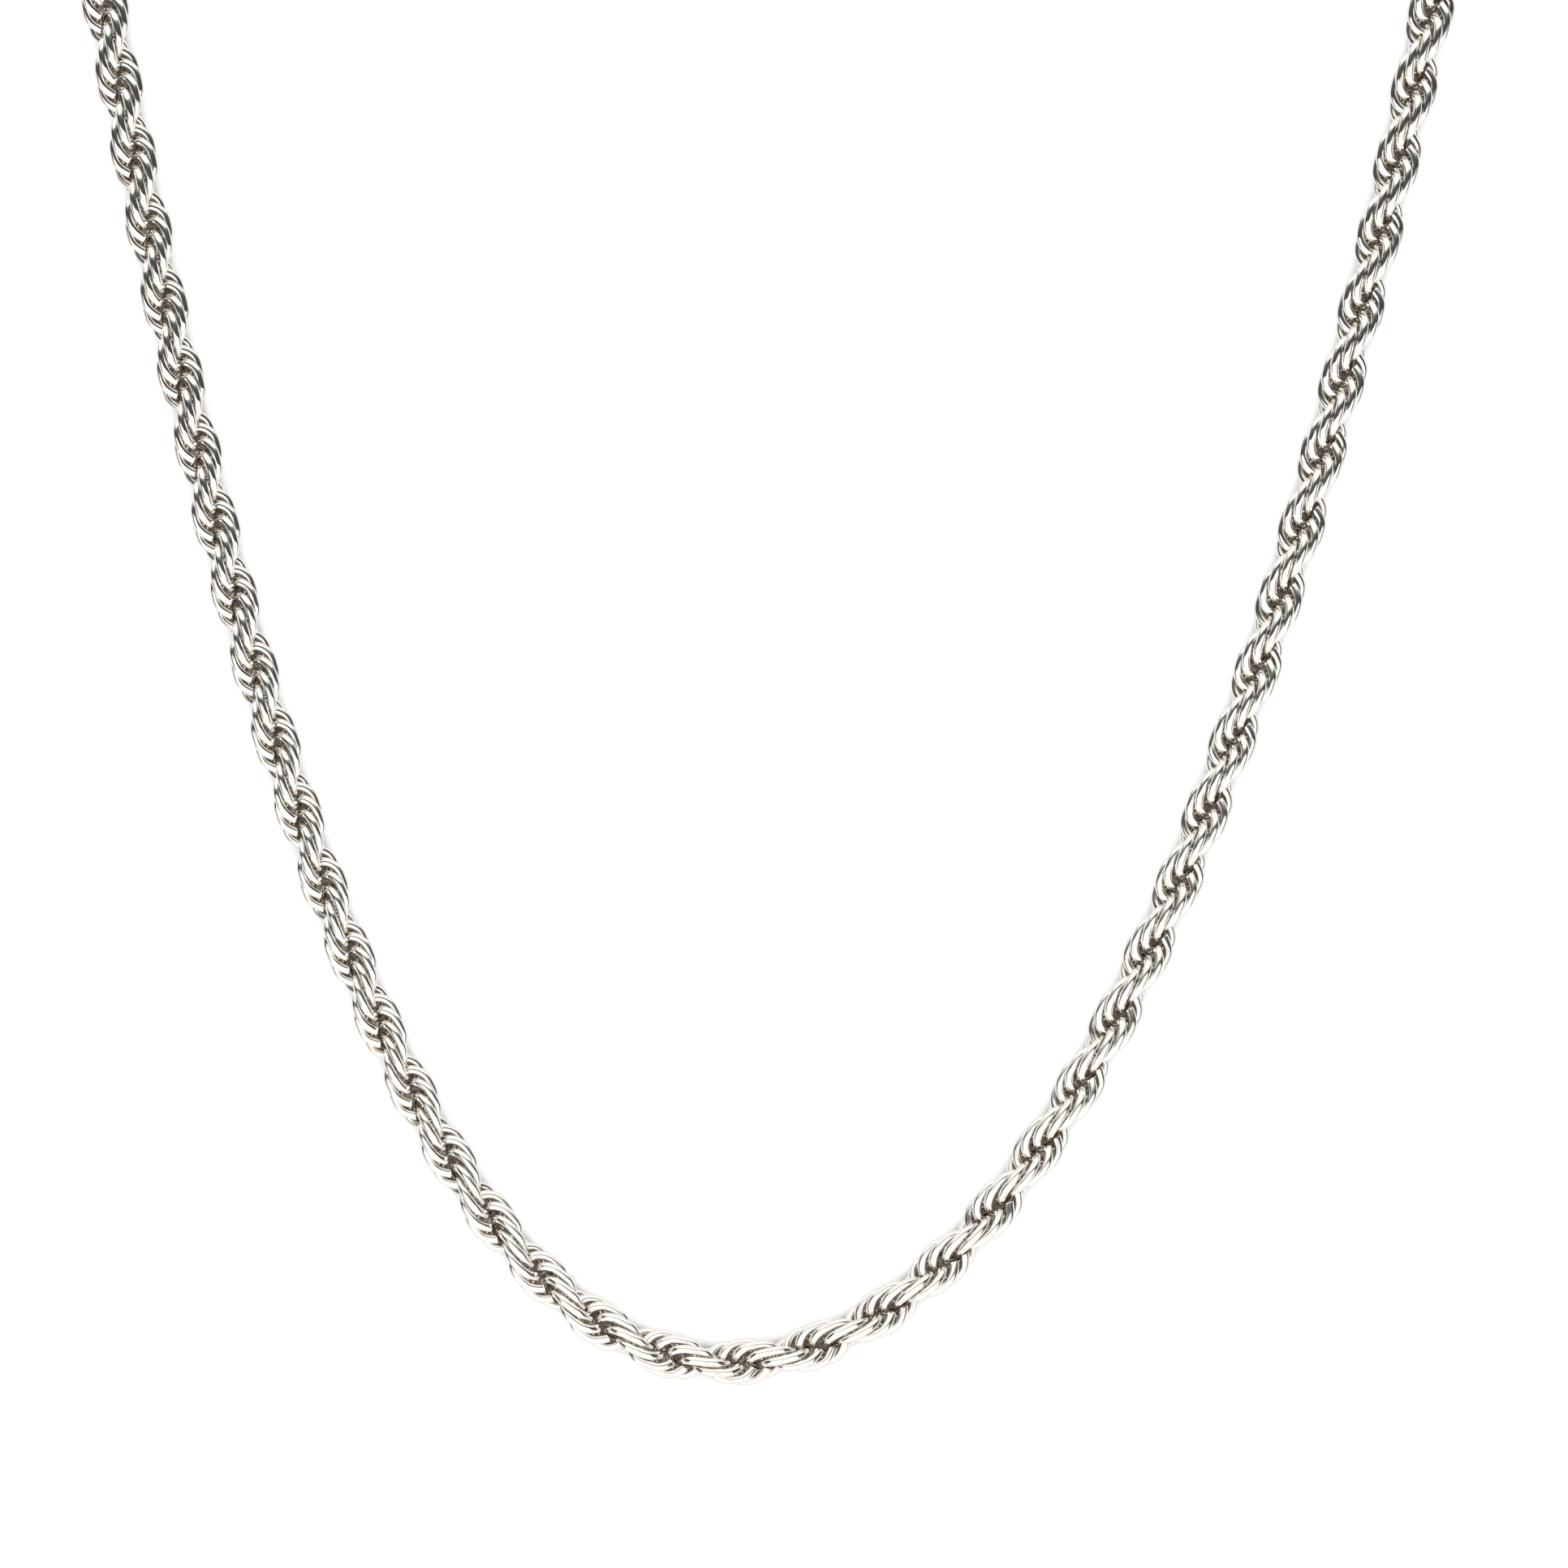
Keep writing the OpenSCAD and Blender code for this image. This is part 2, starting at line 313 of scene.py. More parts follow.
def link_cage():
    """Rings of six points round the wire: centre + r (cos p outward + sin p sideways), broader
    outwards by the square of the way's share along the chain. A subdivided cage is drawn in to
    (before + 4 own + after) / 6, so the rings are solved back from where they have to end up."""
    wire_l = 2 * LINK_R * (np.pi - MOUTH_TURN) + 2 * LINK_SIDE
    u = np.concatenate([[0], np.linspace(END_ROUND, wire_l - END_ROUND, RINGS + 1), [wire_l]])
    p = np.arange(AROUND) * 2 * np.pi / AROUND
    r = (WIRE_D / 2 - RUN_FREE) / (2 / 3 + np.cos(p[1]) / 3)
    centre, way = wire_line(u)
    broad = r + END_BROADER * np.outer(way[:, 0] ** 2, np.cos(p) > 0)
    outward = (broad * np.cos(p))[..., None] * way[:, None]
    sideways = r * np.sin(p)[None, :, None] * np.array([0, 0, 1.0])
    rings = centre[:, None] + outward + sideways
    draw_in = np.diag(np.full(len(u), 4 / 6)) + np.diag(np.full(len(u) - 1, 1 / 6), 1)
    draw_in += np.diag(np.full(len(u) - 1, 1 / 6), -1)
    draw_in[[0, -1]] = np.eye(len(u))[[0, -1]]
    cage = np.linalg.solve(draw_in, rings.reshape(len(u), -1)).reshape(-1, 3)
    places = np.stack(np.broadcast_arrays(u[:, None], np.cos(p), np.sin(p)), axis=-1)
    return cage, places.reshape(-1, 3)


def tube_faces(rows, columns):
    """Quads of a tube of rows by columns points, with one face on each end."""
    index = np.arange(rows * columns).reshape(rows, columns)
    a, b = index[:-1], index[1:]
    quads = np.stack([a, b, np.roll(b, -1, 1), np.roll(a, -1, 1)], axis=-1).reshape(-1, 4)
    return quads.tolist() + [index[0].tolist(), index[-1][::-1].tolist()]


cage, cage_places = link_cage()
cage_faces = tube_faces(len(cage) // AROUND, AROUND)
print("link cage:", len(cage_faces), "faces, size", np.ptp(cage, axis=0).round(2))

# %% Every link in its place
# Length of drawn wire from the start of one link to the start of the next, with what the saw takes
WIRE_PER_LINK = 13.7
ROUNDING = 2


def place_links(cage, links):
    """Turns a cage about the chain's axis, then to the heading, and moves it to each link's centre."""
    turn, head = link_turn[links][:, None], link_heading[links][:, None]
    x, y, z = cage.T
    across = y * np.cos(turn) - z * np.sin(turn)
    up = y * np.sin(turn) + z * np.cos(turn)
    place = link_xy[links]
    placed_x = place[:, :1] + x * np.cos(head) - across * np.sin(head)
    placed_y = place[:, 1:] + x * np.sin(head) + across * np.cos(head)
    return np.stack([placed_x, placed_y, AXIS_Z + up], axis=-1)


def section_links(j):
    """The links of section j, dealt out evenly from the left end."""
    edges = (np.array([j, j + 1]) + SIDE_SECTIONS) * len(link_s) / SECTIONS
    return np.arange(*np.round(edges).astype(int))


def subdivide(piece):
    """Rounds a cage, with the same levels in the view and in the render."""
    modifier = piece.modifiers.new("smooth", "SUBSURF")
    modifier.levels = ROUNDING
    modifier.render_levels = ROUNDING


for j in range(-SIDE_SECTIONS, SIDE_SECTIONS + 1):
    side = "left" if j < 0 else "right"
    node = f"{side}_section_{abs(j):02d}" if j else "front_section"
    body = f"{side}_{abs(j):02d}" if j else "front"
    links = section_links(j)
    points, faces = join([(grid, cage_faces) for grid in place_links(cage, links)])
    piece = mesh_piece(f"links_{node}", points, faces, body, wire_finish, [node])
    # Each link gets its own stretch of the drawn wire
    starts = np.array([1.0, 0, 0]) * (links * WIRE_PER_LINK)[:, None, None]
    places = (cage_places[None] + starts).astype(np.float32)
    attribute = piece.data.attributes.new("wire_place", "FLOAT_VECTOR", "POINT")
    attribute.data.foreach_set("vector", places.ravel())
    subdivide(piece)
print("sections:", SECTIONS, "links each:", len(links))

# %% [markdown]
# ## The finish of the cast pieces
# The end caps, the rings and the clasp are cast or turned silver, buffed on a wheel and plated with
# the chain. The wheel leaves hair-fine lines that all run one way, which only show where the light
# grazes them. They are drawn coarser here than they are, or no picture of the whole necklace would
# show them. The rivet and the spring are drawn steel, greyer and duller than the silver.

# %% Casting and steel finishes
# Width of the wheel's lines, their length in widths, their relief
BUFF_LINE_MM, BUFF_LINE_LONG, BUFF_RELIEF = 0.08, 8, 0.1
# Size of the patches that hands have dulled, and the range of noise that they use
HANDLING_MM = 1.5
HANDLING_NOISE = 0.45, 0.75
DULL_RANGE = 0.3, 1.4


def buffed_metal(name, colour, worn_colour, smooth, rough):
    """Buffed metal: lines eight times as long as wide along X, and patches that hands have dulled."""
    material = bpy.data.materials.new(name)
    material.use_nodes = True
    tree = material.node_tree
    shader = tree.nodes["Principled BSDF"]
    shader.inputs["Metallic"].default_value = 1.0
    where = add_node(tree, "ShaderNodeTexCoord").outputs["Object"]
    fine = 1 / (BUFF_LINE_MM * MM)
    drawn_out = add_node(
        tree, "ShaderNodeMapping", {"Vector": where, "Scale": (fine / BUFF_LINE_LONG, fine, fine)})
    lines = add_node(
        tree, "ShaderNodeTexNoise", {"Vector": drawn_out.outputs[0], "Scale": 1.0, "Detail": 2.0})
    patches = add_node(
        tree, "ShaderNodeTexNoise",
        {"Vector": where, "Scale": 1 / (HANDLING_MM * MM), "Detail": 3.0})
    worn = add_node(
        tree, "ShaderNodeMapRange",
        {"Value": patches.outputs["Fac"],
         "From Min": HANDLING_NOISE[0], "From Max": HANDLING_NOISE[1]})
    tint = add_node(
        tree, "ShaderNodeMix",
        {0: worn.outputs[0], MIX_A: linear(colour), MIX_B: linear(worn_colour)}, data_type="RGBA")
    tree.links.new(tint.outputs[MIX_OUT], shader.inputs["Base Color"])
    dull = add_node(
        tree, "ShaderNodeMath", {0: lines.outputs["Fac"], 1: worn.outputs[0]}, operation="ADD")
    gloss = add_node(
        tree, "ShaderNodeMapRange",
        {"Value": dull.outputs[0], "From Min": DULL_RANGE[0], "From Max": DULL_RANGE[1],
         "To Min": smooth, "To Max": rough})
    tree.links.new(gloss.outputs[0], shader.inputs["Roughness"])
    ripple = add_node(
        tree, "ShaderNodeBump",
        {"Height": lines.outputs["Fac"], "Strength": BUFF_RELIEF, "Distance": LINE_DEPTH_MM * MM})
    tree.links.new(ripple.outputs[0], shader.inputs["Normal"])
    return material


casting_finish = buffed_metal(
    "rhodium_plated_silver_casting", "#ebe8e2", worn_colour="#d3cabd", smooth=0.05, rough=0.16)
steel_finish = buffed_metal(
    "drawn_spring_steel", "#a9a9a6", worn_colour="#8d8b87", smooth=0.18, rough=0.34)
print("materials:", casting_finish.name, steel_finish.name)

# %% [markdown]
# ## Shapes that turn round something
# Nearly every piece at the two ends is a section carried round a circle, or a section that changes
# along a line. Two functions give both, as grids of points. Each shape is worked out along +X from
# the cut end of the chain, and one more function lays it at the left or the right end.

# %% Sections
SECTION_POINTS = 24
# A rounded end starts at this share of its round, because a tip without width has no faces
LEAST_SHARE = 0.03


def oval(half_w, half_h, power=2.0):
    """Superellipse: |x / half_w| ** power + |y / half_h| ** power = 1. A power of 2 is an ellipse, and
    4 is a soft box."""
    q = np.arange(SECTION_POINTS) * 2 * np.pi / SECTION_POINTS
    bend = 2 / power
    x = np.sign(np.cos(q)) * np.abs(np.cos(q)) ** bend
    y = np.sign(np.sin(q)) * np.abs(np.sin(q)) ** bend
    wide = np.multiply.outer(half_w, x)
    return np.stack([wide, np.broadcast_to(half_h * y, wide.shape)], axis=-1)


def rounded_ends(run, end_round):
    """How full a section is along a run: a quarter circle up at the start, full between, and a
    quarter circle down at the end."""
    left = np.minimum(run - run[0], run[-1] - run)
    share = np.clip(left / end_round, LEAST_SHARE, 1)
    return np.sqrt(np.clip(1 - (1 - share) ** 2, 0, 1))


print("section:", SECTION_POINTS, "points")

# %% Sweeps
RING_STEPS = 64


def sweep_round(centre, radius, turns, section, full=1.0, slant=0.0):
    """A section of (outward, up) points carried round a centre in the XY plane through the given
    angles. Radius, fullness and slant may change along the way. Slant turns a point on by so much for
    each mm that it lies outward."""
    radius, full, slant = (
        np.broadcast_to(value, len(turns))[:, None] for value in (radius, full, slant))
    section = np.broadcast_to(section, (len(turns), *np.shape(section)[-2:]))
    out, up = full * section[..., 0], full * section[..., 1]
    turn = turns[:, None] + slant * out
    x = centre[0] + (radius + out) * np.cos(turn)
    y = centre[1] + (radius + out) * np.sin(turn)
    return np.stack([x, y, up], axis=-1)


def sweep_along(x, half_w, half_h, power, y_mid=0.0, z_mid=0.0):
    """Superellipses across +X whose half widths change along it."""
    unit = oval(1.0, 1.0, power)
    y = y_mid + np.asarray(half_w)[:, None] * unit[:, 0]
    z = z_mid + np.asarray(half_h)[:, None] * unit[:, 1]
    return np.stack([np.broadcast_to(x[:, None], y.shape), y, z], axis=-1)


def tube(grid):
    """A grid of sections as a closed shell."""
    return grid, tube_faces(*grid.shape[:2])


def ring_faces(rows, columns):
    """Quads of a grid that closes on itself both ways."""
    index = np.arange(rows * columns).reshape(rows, columns)
    next_row = np.roll(index, -1, 0)
    corners = [index, next_row, np.roll(next_row, -1, 1), np.roll(index, -1, 1)]
    return np.stack(corners, axis=-1).reshape(-1, 4).tolist()


def wire_ring(centre, radius, wire, on_edge=False):
    """A torus about a centre: lying in the XY plane, or standing on edge along X."""
    turns = np.linspace(0, 2 * np.pi, RING_STEPS, endpoint=False)
    grid = sweep_round((0, 0), radius, turns, oval(wire / 2, wire / 2))
    if on_edge:
        grid = np.stack([grid[..., 0], -grid[..., 2], grid[..., 1]], axis=-1)
    return grid + np.asarray(centre), ring_faces(*grid.shape[:2])


print("ring:", RING_STEPS, "sections")

# %% Pieces at the ends of the chain
LEFT_END = link_xy[0] + [PITCH / 2, 0]
RIGHT_END = link_xy[-1] - [PITCH / 2, 0]


def at_end(points, side):
    """Lays points at an end of the chain: as they are at the left end, and turned half round at the
    right."""
    end, turn = (LEFT_END, 1) if side == "left" else (RIGHT_END, -1)
    return points * [turn, turn, 1] + [*end, AXIS_Z]


def outwards(piece):
    """Turns every face of a piece's closed shells outwards."""
    shell = bmesh.new()
    shell.from_mesh(piece.data)
    bmesh.ops.recalc_face_normals(shell, faces=shell.faces)
    shell.to_mesh(piece.data)
    shell.free()


def end_piece(name, shells, side, body, material, node):
    """Closed shells as one piece at an end of the chain, with its faces outwards."""
    points, faces = join(shells)
    piece = mesh_piece(name, at_end(points, side), faces, body, material, [node])
    outwards(piece)
    return piece


def cast_in_one(piece, grain_mm, passes):
    """Melts a piece's shells into one skin of small even faces, and eases its edges as tumbling
    does."""
    melt = piece.modifiers.new("cast", "REMESH")
    melt.mode = "VOXEL"
    melt.voxel_size = grain_mm * MM
    melt.use_smooth_shade = True
    ease = piece.modifiers.new("tumbled", "SMOOTH")
    ease.factor = 0.5
    ease.iterations = passes


print("cut ends:", LEFT_END.round(2), RIGHT_END.round(2))

# %% [markdown]
# ## End caps
# Each cut end of the rope is crimped and soldered into a turned cup with an eye on its closed end.
# The cup is one profile spun round the chain's axis. A real cap's rim and end are rolled over a
# little, so the profile has small quarter circles there, inside the outline of the plain solid, and a
# shallow groove is turned behind the rim. The eye is a ring of wire sunk into the end.

# %% Cap sizes
CAP_WALL, CAP_GRIP, CRIMP, CAP_END = 0.35, 1.6, 0.04, 0.8
EYE_WIRE, EYE_HOLE = 0.9, 1.8
RING_PLAY = 0.1
RIM_ROUND, CAP_ROUND = 0.12, 0.55
GROOVE_AT, GROOVE_W, GROOVE_DEEP = 0.6, 0.36, 0.08
CORNER_STEPS, GROOVE_STEPS, SPIN_STEPS = 6, 11, 72
# The spun ends keep a pinhole, and each corner has a point this close by
PINHOLE, CLOSE_BY = 0.02, 0.06
CHAIN_D = 2 * LINK_R + WIRE_D
CAP_R = CHAIN_D / 2 - CRIMP + CAP_WALL
CAP_FLOOR = (CHAIN_D + LINK_SIDE - PITCH) / 2 + RING_PLAY
CAP_TOP = CAP_FLOOR + CAP_END
EYE_R = (EYE_HOLE + EYE_WIRE) / 2
EYE_AT = CAP_TOP + EYE_R
print("cap:", round(2 * CAP_R, 2), "mm across, eye at", round(EYE_AT, 2))


# %% End caps
def cap_profile():
    """(x, r) round the cup's wall: floor, bore, rolled rim, outside with a turned groove, rolled end.
    Corners are quarter circles with a point close by on each side, which keeps the long faces between
    them plain."""
    q = np.linspace(0, np.pi / 2, CORNER_STEPS)
    bore = CAP_R - CAP_WALL
    rim = -CAP_GRIP + RIM_ROUND
    inside = [
        [CAP_FLOOR, PINHOLE],
        [CAP_FLOOR, bore / 2],
        [CAP_FLOOR, bore - CLOSE_BY],
        [CAP_FLOOR - CLOSE_BY, bore],
        [CAP_FLOOR - 2 * CLOSE_BY, bore],
        [rim + CLOSE_BY, bore],
    ]
    rim_in = np.stack([rim - RIM_ROUND * np.sin(q), bore + RIM_ROUND * (1 - np.cos(q))], axis=1)
    rim_out = np.stack([rim - RIM_ROUND * np.cos(q), CAP_R - RIM_ROUND * (1 - np.sin(q))], axis=1)
    across = np.linspace(-1, 1, GROOVE_STEPS)
    groove_x = rim + GROOVE_AT + GROOVE_W / 2 * across
    groove_r = CAP_R - GROOVE_DEEP * (1 + np.cos(np.pi * across)) / 2
    outside = [[rim + CLOSE_BY, CAP_R], *np.stack([groove_x, groove_r], axis=1)]
    end_at = CAP_TOP - CAP_ROUND
    outside.append([end_at - CLOSE_BY, CAP_R])
    end = np.stack([end_at + CAP_ROUND * np.sin(q), CAP_R - CAP_ROUND * (1 - np.cos(q))], axis=1)
    lid = [[CAP_TOP, CAP_R - CAP_ROUND - CLOSE_BY], [CAP_TOP, CAP_R / 2], [CAP_TOP, PINHOLE]]
    return np.concatenate([inside, rim_in, rim_out, outside, end, lid])


def end_cap():
    """The cup's profile spun about +X, and its eye."""
    profile = cap_profile()
    spin = np.linspace(0, 2 * np.pi, SPIN_STEPS, endpoint=False)
    x, r = profile[:, :1], profile[:, 1:]
    cup = np.stack([x + 0 * spin, r * np.cos(spin), r * np.sin(spin)], axis=-1)
    return [tube(cup), wire_ring((EYE_AT, 0, 0), EYE_R, EYE_WIRE)]


for side in ("left", "right"):
    cap = end_piece(f"cap_{side}", end_cap(), side, f"{side}_{SIDE_SECTIONS}", casting_finish,
                    f"end_cap_{side}")
print("end caps:", len(cap.data.polygons), "faces each")

# %% [markdown]
# ## The two rings
# A closed ring of round wire runs in each cap's eye, standing on edge. One carries the clasp, and the
# clasp hooks the other. A torus from the menu would do. Here it is the same sweep as the eyes.

# %% Rings
RING_WIRE, CLASP_RING_HOLE, CATCH_RING_HOLE = 0.8, 2.6, 3.6
CLASP_RING_R = (CLASP_RING_HOLE + RING_WIRE) / 2
CATCH_RING_R = (CATCH_RING_HOLE + RING_WIRE) / 2
RUN_OFF = (EYE_HOLE - RING_WIRE) / 2 - RING_PLAY
rings = (("clasp_ring", "left", CLASP_RING_R), ("catch_ring", "right", CATCH_RING_R))
for name, side, ring_r in rings:
    ring = wire_ring((EYE_AT + RUN_OFF + ring_r, 0, 0), ring_r, RING_WIRE, on_edge=True)
    end_piece(f"wire_{name}", [ring], side, name, casting_finish, name)
print("rings:", round(2 * CLASP_RING_R, 2), round(2 * CATCH_RING_R, 2), "mm across the wire's middle")

# %% [markdown]
# ## The clasp's body
# A lobster clasp is one casting: an eye, a tail that widens from it, and a claw that curls round to a
# tip. At the rivet the claw is forked into two cheeks that hold the lever. Box modelling would take
# many cuts to blend these. Instead each is a plain closed sweep, a Remesh modifier melts them into one
# skin as the casting does, and a Smooth modifier eases the edges as tumbling does.

# %% Clasp sizes
CLAW_R, CLAW_RIM, CLAW_AT, CLASP_T = 3.5, 1.3, 7.8, 2.6
RIVET_D, TONGUE_R, TONGUE_T, SPRING_WIRE = 0.8, 1.0, 0.9, 0.25
RIVET_TURN, TIP_TURN = np.radians(138), np.radians(36)
CLASP_PLAY = 0.12
# Both ends at the mouth are cut on an arc about the rivet, so that the lever can swing past the tip
MOUTH_SLANT = 0.46
TIP_EASE = 0.2
# The tail loses this share of its thickness, and the cheeks start this far past the fork, in radians
TAIL_THIN = 0.62
CHEEK_START = 0.15
# Power of the superellipse across the claw
CLASP_POWER = 3.0
GRIP_STEPS, CHEEK_STEPS = 160, 60
CLASP_GRAIN, CLASP_PASSES = 0.07, 6
CLASP_AT = EYE_AT + 2 * (RUN_OFF + CLASP_RING_R)
CLAW_MID = CLAW_R - CLAW_RIM / 2
CLAW_INNER = CLAW_R - CLAW_RIM
SLOT_T = TONGUE_T + SPRING_WIRE + 3 * CLASP_PLAY
claw = np.array([CLASP_AT + CLAW_AT, 0.0])
rivet = claw + CLAW_MID * np.array([np.cos(RIVET_TURN), np.sin(RIVET_TURN)])
CHEEK_EDGE = rivet[0] + TONGUE_R + CLASP_PLAY
FORK_TURN = RIVET_TURN + (TONGUE_R + CLASP_PLAY) / CLAW_MID
print("claw at:", claw.round(2), "rivet at:", rivet.round(2))

# %% Clasp outline
OUTLINE_STEPS, SPREAD_STEPS = 600, 15
# Half the spread in radians at the tail's end, and how it grows away from there
SPREAD, SPREAD_GROWS = 0.04, 0.25


def arc(start, end, count):
    """Angles along the claw, and the length run at its middle line."""
    turns = np.linspace(start, end, count)
    return turns, np.abs(turns - start) * CLAW_MID


def outline_r(turns):
    """How far the clasp reaches from the claw's centre: a round claw that runs out to a tail on the
    eye's side. Each angle takes the mean of a spread round it, which eases the corners of the
    straight-sided outline."""
    x = np.array([CLAW_AT - EYE_R, CLAW_AT - EYE_R, CLAW_R, 0])
    y = np.array([0, EYE_WIRE / 2, CLAW_MID, CLAW_R])
    corner = np.arange(len(x))
    along = np.linspace(0, len(x) - 1, OUTLINE_STEPS)
    x, y = np.interp(along, corner, x), np.interp(along, corner, y)
    from_tail = np.abs((turns % (2 * np.pi)) - np.pi)
    half_spread = SPREAD + SPREAD_GROWS * np.minimum(from_tail, 1)
    around = np.abs(from_tail + np.linspace(-1, 1, SPREAD_STEPS)[:, None] * half_spread)
    return np.interp(around, np.arctan2(y, x), np.hypot(x, y)).mean(axis=0)


print("tail reach:", outline_r(np.array([np.pi])).round(2), "claw:", CLAW_R)


# %% Clasp body
def clasp_grip():
    """The claw from its tip round the far side and the tail to the fork: a superellipse between the
    claw's inside and the outline, carried round the claw's centre."""
    turns, run = arc(TIP_TURN, FORK_TURN - 2 * np.pi, GRIP_STEPS)
    outer = outline_r(turns)
    slant = MOUTH_SLANT * np.clip(1 - run / CLAW_R, 0, 1)
    section = oval((outer - CLAW_INNER) / 2, CLASP_T / 2, CLASP_POWER)
    # Only the tip is rounded, so the run is taken as the start of a longer one
    full = rounded_ends(np.concatenate([run, run + 2 * run[-1]]), TIP_EASE)[: len(run)]
    return sweep_round(claw, (outer + CLAW_INNER) / 2, turns, section, full, slant)


def clasp_cheeks():
    """The two sides of the fork, above and below the lever's tongue: the grip's section with its
    middle left out."""
    cheek_end = np.arccos((CHEEK_EDGE - claw[0]) / CLAW_MID)
    turns, run = arc(FORK_TURN + CHEEK_START, cheek_end, CHEEK_STEPS)
    outer = outline_r(turns)
    half_w = (outer - CLAW_INNER) / 2
    out, up = np.moveaxis(oval(half_w, CLASP_T / 2, CLASP_POWER), -1, 0)
    slot_share = (1 - (SLOT_T / CLASP_T) ** CLASP_POWER) ** (1 / CLASP_POWER)
    edge = (half_w * slot_share)[:, None]
    above = np.maximum(up - SLOT_T / 2, 0)
    out = np.where(above > 0, out, np.clip(out, -edge, edge))
    # Only the far end is rounded, so the run is taken as the end of a longer one
    full = rounded_ends(np.concatenate([run - 2 * run[-1], run]), TIP_EASE)[len(run):, None]
    cheek = np.stack([out * full, SLOT_T / 2 + above * full], axis=-1)
    return [sweep_round(claw, (outer + CLAW_INNER) / 2, turns, cheek * [1, way]) for way in (-1, 1)]


def clasp_body():
    """Eye, claw with its tail, and cheeks, as closed sweeps that cross each other. The tail thins
    towards the eye, which is only as thick as its wire, by a smooth step 3 t ** 2 - 2 t ** 3."""
    grids = [clasp_grip(), *clasp_cheeks()]
    for grid in grids:
        thin = np.clip((claw[0] - CLAW_R - grid[..., 0]) / (CLAW_AT - CLAW_R - EYE_R), 0, 1)
        grid[..., 2] *= 1 - TAIL_THIN * thin * thin * (3 - 2 * thin)
    return [wire_ring((CLASP_AT, 0, 0), EYE_R, EYE_WIRE), *map(tube, grids)]


casting = end_piece("clasp_casting", clasp_body(), "left", "clasp", casting_finish, "clasp_body")
cast_in_one(casting, CLASP_GRAIN, CLASP_PASSES)
print("clasp body:", len(casting.data.polygons), "faces before it is cast in one")

# %% [markdown]
# ## The lever
# The lever closes the claw's mouth. It is a piece of the same rim, with a flat tongue that turns on
# the rivet between the cheeks, and a tab for the thumb. It is cast in one as well, a play thinner than
# the claw.

# %% Lever
TAB_SIZE, TAB_ROUND, TAB_POWER = 1.1, 0.45, 4.0
# Past its heel the tongue hardly reaches under the rivet's middle
TONGUE_HEEL, TONGUE_UNDER, TONGUE_POWER = 0.6, 0.1, 5.0
# The tongue's round end stops just short of a point
NEARLY_ALL = 0.999
LEVER_GRAIN, LEVER_PASSES = 0.06, 4
GATE_STEPS, TONGUE_STEPS, TAB_STEPS = 50, 40, 24
LEVER_T = CLASP_T - 2 * CLASP_PLAY
GATE_EDGE = CHEEK_EDGE + 2 * CLASP_PLAY
TONGUE_Z = (SLOT_T - TONGUE_T) / 2 - CLASP_PLAY


def lever_gate():
    """The piece of rim that closes the mouth: a superellipse carried round the claw's centre."""
    hinge_side = np.arccos((GATE_EDGE - claw[0]) / CLAW_MID)
    turns, run = arc(hinge_side, TIP_TURN + 2 * CLASP_PLAY / CLAW_MID, GATE_STEPS)
    section = oval(CLAW_RIM / 2, LEVER_T / 2, CLASP_POWER)
    slant = MOUTH_SLANT * run / run[-1]
    return sweep_round(claw, CLAW_MID, turns, section, rounded_ends(run, TIP_EASE), slant)


def lever_tongue():
    """A flat bar along X whose half width follows a circle about the rivet up to its middle."""
    reach = GATE_EDGE - rivet[0] + TAB_SIZE / 2
    x = rivet[0] + np.linspace(-TONGUE_R, reach, TONGUE_STEPS)
    before = np.clip((rivet[0] - x) / TONGUE_R, 0, NEARLY_ALL)
    bow = np.sqrt(np.clip(1 - before**2, 0, 1)) * TONGUE_R
    low = np.where(x < rivet[0] + TONGUE_HEEL, -bow, np.maximum(-bow, -TONGUE_UNDER))
    half_w, y_mid = (bow - low) / 2, rivet[1] + (bow + low) / 2
    half_h = np.full(len(x), TONGUE_T / 2)
    return sweep_along(x, half_w, half_h, TONGUE_POWER, y_mid[:, None], TONGUE_Z)


def lever_tab():
    """A soft box with rounded ends that stands out from the rim, swept along X and turned to Y."""
    y = np.linspace(rivet[1], rivet[1] + TONGUE_R + TAB_SIZE, TAB_STEPS)
    full = rounded_ends(y, TAB_ROUND)
    tab = sweep_along(y, full * TAB_SIZE / 2, full * LEVER_T / 2, TAB_POWER)
    return np.stack([GATE_EDGE + TAB_SIZE / 2 + tab[..., 1], tab[..., 0], tab[..., 2]], axis=-1)


lever_shells = [tube(lever_gate()), tube(lever_tongue()), tube(lever_tab())]
lever = end_piece("lever_casting", lever_shells, "left", "lever", casting_finish, "clasp_lever")
cast_in_one(lever, LEVER_GRAIN, LEVER_PASSES)
print("lever:", len(lever.data.polygons), "faces before it is cast in one")

# %% [markdown]
# ## Rivet and spring
# A steel rivet goes through both cheeks and the tongue, its ends peened over flush. Round it, under
# the tongue, lies the spring. Both hardly show, and they are what makes the lever work.

# %% Rivet and spring
PEEN = 0.1
PIN_STEPS = 40
SPRING_Z = -(SLOT_T - SPRING_WIRE) / 2 + CLASP_PLAY


def rivet_pin():
    """A pin along Z with eased ends: radius against height, spun round the rivet's centre."""
    z = np.linspace(-CLASP_T / 2, CLASP_T / 2, PIN_STEPS)
    r = RIVET_D / 2 * rounded_ends(z, PEEN)
    spin = np.linspace(0, 2 * np.pi, PIN_STEPS, endpoint=False)
    x = rivet[0] + r[:, None] * np.cos(spin)
    y = rivet[1] + r[:, None] * np.sin(spin)
    return tube(np.stack([x, y, np.broadcast_to(z[:, None], x.shape)], axis=-1))


